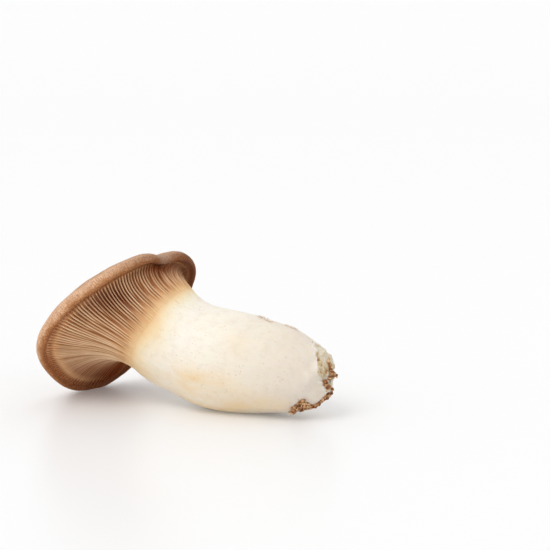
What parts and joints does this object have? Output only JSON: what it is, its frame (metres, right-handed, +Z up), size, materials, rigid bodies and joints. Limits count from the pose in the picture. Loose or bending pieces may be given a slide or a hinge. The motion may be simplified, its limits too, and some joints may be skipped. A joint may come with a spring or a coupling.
{
  "type": "king oyster mushroom",
  "caption": "Whole king oyster mushroom lying on its side: thick pale stem with a torn base, flared gilled underside and shallow brown cap with a rolled rim.",
  "frame": {"origin": "on the flat spot under the belly of the stem, where the mushroom lies on the surface", "axes": "+X along the stem to the torn base, -X to the cap, +Z up, +Y the side away from the viewer of the picture"},
  "size_m": [0.1222, 0.0699, 0.0623],
  "materials": {
    "mushroom_flesh": "smooth matte cream stem, tan gills, velvety brown cap skin",
    "growing_medium": "rough crumbly rusty brown"
  },
  "bodies": {
    "root": {"mushroom": "mushroom_flesh", "substrate_crumbs": "growing_medium"}
  },
  "joints": []
}
